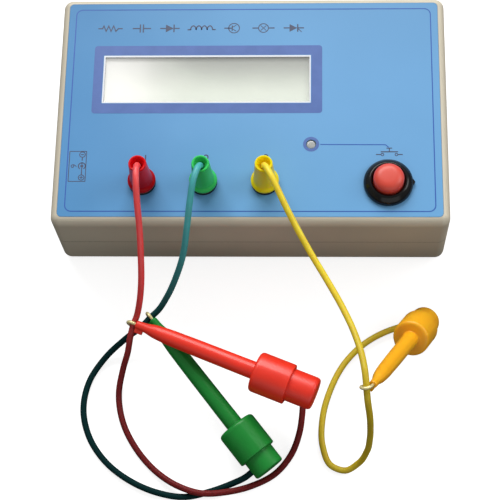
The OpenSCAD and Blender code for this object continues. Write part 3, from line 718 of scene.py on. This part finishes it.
def make_cap(i):
    """The end cap, with a hole in its side or end where the lead goes in."""
    colour = COLOURS[i]
    start = spring_span(i)[1]
    bore = HOOK_WIRE / 2 + 0.02
    end = CLIP_LEN + CAP_EXTRA[i]
    edge = CAP_EDGE[i]
    profile = soften([
        (bore, start), (CAP_R, start, 0.3), (CAP_R, end - edge, edge * 0.8),
        (CAP_R - edge * 0.6, end - 0.12, 0.3), (CAP_R - edge - 0.2, end, 0.2),
        (CAP_R - edge - 0.5, end - 0.22, 0.15), (0, end - 0.16),
    ], steps=7)
    profile += [(0.0, end - HOOK_ROOT), (bore, end - HOOK_ROOT)]
    verts, faces = lathe(profile, segs=96, closed=True)
    obj = piece(colour + "_clip_end", along_x(verts), faces, CLIP[colour], matrix=clip_matrix(i))
    inner, outer = Vector(ROUTES[i][-1]), Vector(ROUTES[i][-2])
    away = (outer - inner).normalized()
    cut(obj, *tube([inner - away * 0.02, inner + away * 6], CORD_R + 0.12, 24))
    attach(obj, "case")
    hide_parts(colour + "_clip_cap")
    return obj


def make_hook(i):
    """The wire through the clip, thin in its bore and a little thicker in the bent hook."""
    colour = COLOURS[i]
    thin = HOOK_WIRE / 2
    bend = HOOK_R + thin
    shank = [(x, 0, 0) for x in (CLIP_LEN - HOOK_ROOT, 40, 20, 6, MOUTH_S - 0.1)]
    arc = [(bend - HOOK_R * math.sin(a), 0, -HOOK_R + HOOK_R * math.cos(a))
           for a in [math.pi * k / 18 for k in range(19)]]
    points = shank + arc + [(bend + 0.9, 0, -2 * HOOK_R)]
    radii = [thin] * len(shank) + [thin + 0.1] * len(arc) + [thin - 0.12]
    obj = piece(colour + "_hook_wire", *tube(points, radii, 20), HOOK, "case", "gold_metal", clip_matrix(i))
    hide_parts(colour + "_clip_hook")
    return obj


def make_clip_spring(i):
    colour = COLOURS[i]
    start, end = spring_span(i)
    solid = spring(start + COIL_END, end - COIL_END, 2.2, 0.28, 4, 20, lambda x, y, z: (x, y, z))
    place = clip_matrix(i)
    obj = piece(colour + "_return_spring", *solid, TIN, "case", "tinned_metal", place)
    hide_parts(colour + "_clip_spring")
    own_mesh(obj)
    return obj


def make_leads():
    for i, colour in enumerate(COLOURS):
        cord, path = make_cord(i)
        on_it = [make(i) for make in (make_plug, make_barrel, make_cap, make_hook, make_clip_spring)]
        on_it.append(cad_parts[colour + "_plug_pin"])


make_leads()


# Push button

BEZEL_R = 7.75
BEZEL_BORE = 5.15
BUTTON_R = 4.8
BUTTON_RISE = 6.2  # the cap's top over the label
TERMINAL_X = 2.2
BUTTON_COIL = (18.3, 21.7, 4.2, 0.24, 4, 24)  # ends, radii of the coil and its wire, turns, steps a turn


def make_button():
    x, y = BUTTON_AT
    z, r, bore = LABEL_TOP, BEZEL_R, BEZEL_BORE
    place = Matrix.Translation((x, y, 0))
    housing = soften([
        (0, 16), (5.9, 16, 0.3), (5.9, z, 0), (r, z, 0.1), (r, z + 1.1, 0.5), (r - 0.5, z + 1.9, 0.5),
        (r - 1.5, z + 2.85, 0.5), (r - 2.0, z + 3.08, 0.2), (bore + 0.25, z + 3.0, 0.15),
        (bore, z + 2.6, 0.2), (bore, 18, 0.2), (0, 18),
    ])
    obj = piece("button_bezel", *lathe(housing, segs=96), BLACK, matrix=place)
    nub = [(-0.5, -1.5), (0.3, -0.5), (0.6, 0), (0.3, 0.5), (-0.5, 1.5)]
    cut(obj, *slab([(x + r + a, y + b) for a, b in nub], z + 0.02, z + 1.2), "UNION")
    for side in (x - TERMINAL_X, x + TERMINAL_X):
        cut(obj, *slab(round_rect(side - 0.35, y - 1.2, side + 0.35, y + 1.2, 0.05, 1), 15, 18.5))
    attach(obj, "case")
    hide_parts("button_housing")
    top, r = z + BUTTON_RISE, BUTTON_R
    cap = soften([
        (0, 22), (r, 22, 0.2), (r, top - 1.5, 0.8), (r - 0.9, top - 0.55, 0.6), (2.7, top - 0.1, 0.8),
        (0, top),
    ], steps=8)
    obj = piece("button_top", *lathe(cap, segs=96), BUTTON_RED, "button", "button_red", place)
    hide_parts("button_cap")
    coil = spring(*BUTTON_COIL, lambda along, a, b: (x + a, y + b, along))
    obj = piece("button_coil", *coil, TIN, "case", "tinned_metal")
    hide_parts("button_spring")
    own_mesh(obj)


make_button()


# Panel: sockets, lamp and display

LED_LEG_X = 1.27
CELL_PITCH = (3.55, 5.94)
CELL_HALF = (1.48, 2.6)
CELL_ROWS, CELL_COLUMNS = 2, 16


def make_sockets():
    z = LABEL_TOP
    profile = soften([
        (1.05, 20.5), (1.05, z + 0.75, 0), (1.3, z + 1.05, 0.1), (3.9, z + 1.05, 0.25),
        (4.3, z + 0.7, 0.3), (4.3, z, 0.05), (3.0, z, 0), (3.0, 20, 0.3), (0.8, 20, 0.2), (0.8, 16, 0),
        (0.25, 16, 0), (0.25, 20.5, 0),
    ])
    for i, x in enumerate(SOCKET_X):
        obj = piece("socket_%d" % (i + 1), *lathe(profile, segs=64, closed=True), BLACK, "case",
                    "black_plastic", Matrix.Translation((x, SOCKET_Y, 0)))
        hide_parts("panel_sockets")


def make_lamp():
    x, y = LED_AT
    top = LABEL_TOP - 0.12
    profile = soften([
        (0, 26.55), (1.9, 26.55, 0.1), (1.9, 27.55, 0.1), (1.52, 27.55, 0.05), (1.52, top - 0.3, 0.25),
        (1.1, top - 0.05, 0.3), (0, top),
    ])
    obj = piece("lamp_resin", *lathe(profile, segs=48), LED_RESIN, "case", "led_grey",
                Matrix.Translation((x, y, 0)))
    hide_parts("indicator_led")
    legs = merge(*[slab(round_rect(leg - 0.25, y - 0.25, leg + 0.25, y + 0.25, 0.05, 1), 5.4, 26.7)
                   for leg in (x - LED_LEG_X, x + LED_LEG_X)])
    obj = piece("lamp_legs", *legs, TIN, "case", "tinned_metal")
    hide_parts("indicator_led")


def make_display():
    """The pane with its empty character cells, the clear window over it and the window's pale lip, a white
    strip that is a painted highlight along the window's inner edge.
    """
    x, y = DISPLAY_AT
    pane = box_mm("display_glass")
    obj = piece("display_pane", *chamfered(*pane), LCD, "case", "display_glass")
    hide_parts("display_glass")
    top = pane[5]
    (w, h), cells = CELL_HALF, []
    for row in range(CELL_ROWS):
        for column in range(CELL_COLUMNS):
            cx = x + (column - (CELL_COLUMNS - 1) / 2) * CELL_PITCH[0]
            cy = y + ((CELL_ROWS - 1) / 2 - row) * CELL_PITCH[1]
            cells.append(slab(round_rect(cx - w, cy - h, cx + w, cy + h, 0.1, 1), top + 0.002, top + 0.01))
    piece("display_cells", *merge(*cells), LCD, "case", "display_glass")
    film = box_mm("display_film")
    obj = piece("window_film", *chamfered(*film, r=0.15, cut=0.04), FILM, "case", "clear_film")
    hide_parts("display_film")
    x0, y0, _, x1, y1, top = film
    lip = slab(round_rect(x0 - 0.08, y0 - 0.08, x1 + 0.08, y1 + 0.08, 0.2, 3), top - 0.05, top + 0.03,
               round_rect(x0 + 0.42, y0 + 0.32, x1 - 0.32, y1 - 0.5, 0.12, 3))
    piece("window_lip_highlight", *lip, FILM_EDGE_HIGHLIGHT, "case", "clear_film")


# Print on the panel: thin raised ink, from PRINT_Z0 to PRINT_Z1

PRINT_Z0 = LABEL_TOP + 0.004
PRINT_Z1 = LABEL_TOP + 0.03
INK = 0.4  # a printed line's usual width
SYMBOL_X = (-46.5, -36.2, -27.0, -16.6, -6.0, 3.6, 13.4)
SYMBOL_Y = 28.6
BORDER = (-58.05, -36.1, 58.05, 35.7)
WINDOW_FRAME = (-51.2, -2.1, 22.7, 22.2)
LEADER = ((22.1, -13.1), (42.6, -13.2), (43.6, -14.1))  # from the lamp to the button's symbol
POWER_AT = (-53.2, -20.5)
POWER_BOX = (-57.4, -25.9, -51.8, -15.3)
PUSH_AT = (43.8, -16.6)
NUMERALS = (("1", -33.1, -18.0), ("2", -13.8, -17.9), ("3", 5.1, -17.8))
NUMERAL_HEIGHT = 2.8
FONT_SIZE = 1.42  # the font's size for a numeral one unit high


def stroke(points, width):
    """A printed line of even width through 2-D points, with mitred corners."""
    p = [Vector(q) for q in points]
    left, right = [], []
    for i, here in enumerate(p):
        u = (here - p[i - 1]).normalized() if i else (p[1] - here).normalized()
        v = (p[i + 1] - here).normalized() if i < len(p) - 1 else u
        bisector = (u + v).normalized() if (u + v).length > 1e-3 else u
        normal = Vector((-bisector.y, bisector.x))
        reach = width / 2 / max(0.45, normal.dot(Vector((-u.y, u.x))))
        left.append(tuple(here + normal * reach))
        right.append(tuple(here - normal * reach))
    return slab(right + left[::-1], PRINT_Z0, PRINT_Z1)


def ring(cx, cy, r, width=0.3, n=32):
    return slab(circle(cx, cy, r + width / 2, n), PRINT_Z0, PRINT_Z1, circle(cx, cy, r - width / 2, n))


def frame_line(x0, y0, x1, y1, r, width, steps=6):
    """A printed rounded rectangle; r is its outer and inner corner radius."""
    outer = round_rect(x0, y0, x1, y1, r[0], steps)
    inner = round_rect(x0 + width, y0 + width, x1 - width, y1 - width, r[1], steps)
    return slab(outer, PRINT_Z0, PRINT_Z1, inner)


def strokes(x, y, lines):
    """Printed lines round a place: each is a width and its points, as steps from the place."""
    return [stroke([(x + a, y + b) for a, b in points], width) for width, *points in lines]


def diode(x, y, reach):
    """A diode whose right lead ends at reach."""
    body = slab([(x - 1.3, y - 1.4), (x + 1.2, y), (x - 1.3, y + 1.4)], PRINT_Z0, PRINT_Z1)
    return [body] + strokes(x, y, [
        (INK, (1.35, -1.4), (1.35, 1.4)), (INK, (-3.2, 0), (-1.32, 0)), (INK, (1.52, 0), (reach, 0)),
    ])


def symbol_row():
    """A row of circuit symbols."""
    resistor, capacitor, rectifier, coil, transistor, lamp, thyristor = SYMBOL_X
    y = SYMBOL_Y
    zigzag = [(-2.2 + 0.8 * k, 1.0 if k % 2 == 0 else -1.0) for k in range(6)]
    solids = strokes(resistor, y, [(INK, (-4, 0), (-2.6, 0), *zigzag, (2.6, 0), (4, 0))])
    for sign in (-1, 1):
        plate = 0.5 * sign
        solids += strokes(capacitor, y, [
            (INK, (plate, -1.5), (plate, 1.5)), (INK, (plate + 0.16 * sign, 0), (sign * 3.0, 0)),
        ])
    solids += diode(rectifier, y, 3.2)
    half_turn = [math.pi * (1 - j / 10) for j in range(11)]
    for middle in range(4):
        arc = [(-2.7 + 1.8 * middle + 0.9 * math.cos(a), -0.6 + 1.5 * math.sin(a)) for a in half_turn]
        solids += strokes(coil, y, [(INK, *arc)])
    for sign in (-1, 1):
        solids += strokes(coil, y, [(INK, (sign * 3.6, -0.5), (sign * 4.6, -0.5))])
    solids.append(ring(transistor, y, 1.75))
    solids += strokes(transistor, y, [
        (0.35, (-0.6, -1.0), (-0.6, 1.0)), (INK, (-3.2, 0), (-0.78, 0)),
        (0.25, (-0.42, 0.35), (0.7, 1.1)), (0.25, (-0.42, -0.35), (0.7, -1.1)),
    ])
    solids.append(ring(lamp, y, 1.6))
    solids += strokes(lamp, y, [
        (INK, (-1.76, 0), (-3.6, 0)), (INK, (1.76, 0), (3.6, 0)), (0.24, (-0.9, -0.9), (0.9, 0.9)),
        (0.24, (-0.9, 0.9), (-0.12, 0.12)), (0.24, (0.12, -0.12), (0.9, -0.9)),
    ])
    solids += diode(thyristor, y, 3.4)
    solids += strokes(thyristor, y, [(0.25, (1.5, -0.3), (2.6, -1.5))])
    return solids


def power_symbol():
    """The barrel plug's polarity mark in its box, beside the power inlet."""
    x, y = POWER_AT
    angles = [math.radians(a) for a in range(-60, 241, 15)]
    sleeve = [(1.1 * math.cos(a), 1.1 * math.sin(a)) for a in angles]
    solids = [frame_line(*POWER_BOX, (0.15, 0.1), 0.24, 1),
              slab(circle(x, y, 0.5, 16), PRINT_Z0, PRINT_Z1)]
    solids += strokes(x, y, [
        (0.32, *sleeve), (0.3, (0, 0.6), (0, 1.2)), (0.3, (0, 1.85), (0, 2.9)), (0.3, (0, -0.6), (0, -2.9)),
    ])
    solids += [ring(x, y + 3.95, 0.9, 0.26, 24), ring(x, y - 3.95, 0.9, 0.26, 24)]
    solids += strokes(x, y, [
        (0.26, (-0.5, 3.95), (0.5, 3.95)), (0.26, (-0.5, -3.95), (0.5, -3.95)),
        (0.26, (0, -4.08), (0, -4.45)), (0.26, (0, -3.82), (0, -3.45)),
    ])
    solids.append(numeral("9", -55.8, y, 1.9, 90))
    return solids


def push_symbol():
    """A push switch's symbol, over the button."""
    x, y = PUSH_AT
    return [ring(x - 2.2, y, 0.42, 0.26, 20), ring(x + 2.2, y, 0.42, 0.26, 20)] + strokes(x, y, [
        (0.32, (-4.2, 0), (-2.72, 0)), (0.32, (2.72, 0), (4.2, 0)), (0.36, (-2.7, 0.95), (2.7, 0.95)),
        (0.32, (0, 1.14), (0, 2.1)), (0.3, (-0.9, 2.2), (0.9, 2.2)),
    ])


def numeral(text, x, y, height, turn=0):
    """A printed numeral whose middle is at x and y, turned by turn degrees."""
    curve = bpy.data.curves.new("numeral_" + text, "FONT")
    curve.body = text
    curve.size = height * FONT_SIZE
    curve.align_x = "CENTER"
    curve.extrude = (PRINT_Z1 - PRINT_Z0) / 2
    curve.resolution_u = 6
    temp = bpy.data.objects.new("numeral_" + text, curve)
    bpy.context.scene.collection.objects.link(temp)
    graph = bpy.context.evaluated_depsgraph_get()
    mesh = bpy.data.meshes.new_from_object(temp.evaluated_get(graph))
    place = Matrix.Translation((x, y, (PRINT_Z0 + PRINT_Z1) / 2))
    place = place @ Matrix.Rotation(math.radians(turn), 4, "Z")
    verts = [tuple(place @ (v.co - Vector((0, height / 2, 0)))) for v in mesh.vertices]
    faces = [tuple(p.vertices) for p in mesh.polygons]
    bpy.data.objects.remove(temp)
    return verts, faces


def make_print():
    x, y = DISPLAY_AT
    w, h = (side / 2 + 0.2 for side in WINDOW)
    window = slab(round_rect(*WINDOW_FRAME, 1.0), PRINT_Z0, PRINT_Z1,
                  round_rect(x - w, y - h, x + w, y + h, 0.2))
    lamp_ring = ring(*LED_AT, 2.08, 0.92, 48)
    piece("print_window", *merge(window, lamp_ring), PRINT_FRAME, "case", "label_blue")
    border = frame_line(*BORDER, (2.2, 1.9), 0.35)
    leader = stroke(LEADER, 0.32)
    piece("print_lines", *merge(border, leader), PRINT_LINE, "case", "label_blue")
    marks = symbol_row() + power_symbol() + push_symbol()
    marks += [numeral(*where, NUMERAL_HEIGHT) for where in NUMERALS]
    piece("print_marks", *merge(*marks), PRINT_DARK, "case", "label_blue")


make_sockets()
make_lamp()
make_display()
make_print()


# The CAD pieces that stay

NODE_MATERIALS = {
    "case_top": CASE, "case_bottom": CASE, "case_screws": TIN, "panel_label": LABEL,
    "display_bezel": STEEL, "display_backlight": MILK, "display_board": BOARD, "display_screws": TIN,
    "display_header": BLACK_SATIN, "main_board": BOARD, "board_screws": TIN,
    "controller_socket": BLACK_SATIN, "controller_chip": BLACK_SATIN, "crystal": TIN,
    "regulator": BLACK_SATIN, "capacitors": BLUE_SLEEVE, "resistors": LACQUER,
    "power_jack": BLACK, "power_jack_pin": TIN, "battery": BATTERY, "battery_snap": BLACK_SATIN,
    "battery_leads": WIRE, "button_nut": TIN, "button_terminals": GOLD, "button_leads": WIRE,
    "button_contact": GOLD, "socket_nuts": TIN, "socket_wires": TIN,
    "red_plug_pin": GOLD, "green_plug_pin": GOLD, "yellow_plug_pin": GOLD,
}


def dress_nodes():
    for name, mat in NODE_MATERIALS.items():
        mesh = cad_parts[name].data
        mesh.materials.clear()
        mesh.materials.append(mat)
        shade(mesh, NODE_SHARP_ANGLE)


def make_seam():
    """The shadow line round the case where its two halves meet."""
    x, y, half, width = CASE_X, CASE_Y, 0.14, 0.3
    line = slab(round_rect(-x, -y, x, y, CASE_R, 10), SEAM_Z - half, SEAM_Z + half,
                round_rect(width - x, width - y, x - width, y - width, CASE_R - width, 10))
    piece("case_seam", *line, SEAM, "case")


dress_nodes()
make_seam()


# Studio

FLOOR_HALF = 3.0
FLOOR_DROP = 0.0003
LIGHT_TO = (0, -0.03, 0)
LIGHTS = (  # name, place, what it points at, size in metres, power in watts
    ("key", (-0.22, 1.3, 1.25), LIGHT_TO, (1.7, 0.65), 29.0),
    ("side", (0.9, 0.15, 0.7), LIGHT_TO, (0.6, 0.6), 3.6),
    ("front", (0.25, -1.3, 0.6), (0, -0.03, 0.01), (1.8, 0.9), 3.3),
)
SKY = (  # axis, and the values along it that give two strengths
    ("Z", (-0.15, 0.2), (0.05, 0.34)),
    ("Y", (-1.0, 0.3), (0.55, 1.1)),
)


def make_floor():
    """A pale floor that glows a little, and that neither lights the object nor shows in its gloss."""
    mesh = bpy.data.meshes.new("floor")
    s = FLOOR_HALF
    mesh.from_pydata([(-s, -s, 0), (s, -s, 0), (s, s, 0), (-s, s, 0)], [], [(0, 1, 2, 3)])
    mat = material("floor_paper", (0.5, 0.5, 0.5), rough=0.9, vary=0.01, patch=8, bump=0.0)
    bsdf = mat.node_tree.nodes["Principled BSDF"]
    bsdf.inputs["Emission Color"].default_value = (1.0, 1.0, 1.0, 1.0)
    bsdf.inputs["Emission Strength"].default_value = FLOOR_GLOW
    mesh.materials.append(mat)
    obj = bpy.data.objects.new("floor", mesh)
    obj.location.z = -FLOOR_DROP
    obj.visible_diffuse = False
    obj.visible_glossy = False
    bpy.context.scene.collection.objects.link(obj)


def make_sky():
    """Even white light that weakens under the horizon and towards the front, so front faces fall off."""
    world = bpy.data.worlds.new("studio")
    bpy.context.scene.world = world
    world.use_nodes = True
    nodes, links = world.node_tree.nodes, world.node_tree.links
    background = nodes["Background"]
    background.inputs["Color"].default_value = (1.0, 1.0, 1.0, 1.0)
    coords = nodes.new("ShaderNodeTexCoord")
    split = nodes.new("ShaderNodeSeparateXYZ")
    links.new(coords.outputs["Generated"], split.inputs["Vector"])
    total = nodes.new("ShaderNodeMath")
    total.operation = "MULTIPLY"
    for factor, (axis, span, strengths) in zip(total.inputs, SKY):
        level = nodes.new("ShaderNodeMapRange")
        set_range(level, *span, *strengths)
        links.new(split.outputs[axis], level.inputs["Value"])
        links.new(level.outputs["Result"], factor)
    links.new(total.outputs["Value"], background.inputs["Strength"])


def make_lights():
    for name, at, to, size, power in LIGHTS:
        data = bpy.data.lights.new(name, "AREA")
        data.shape = "RECTANGLE"
        data.size, data.size_y = size
        data.energy = power
        obj = bpy.data.objects.new(name, data)
        obj.location = at
        obj.rotation_euler = (Vector(to) - Vector(at)).to_track_quat("-Z", "Y").to_euler()
        bpy.context.scene.collection.objects.link(obj)


bpy.context.scene.view_settings.view_transform = "Standard"
bpy.context.scene.view_settings.look = "None"
make_sky()
make_floor()
make_lights()
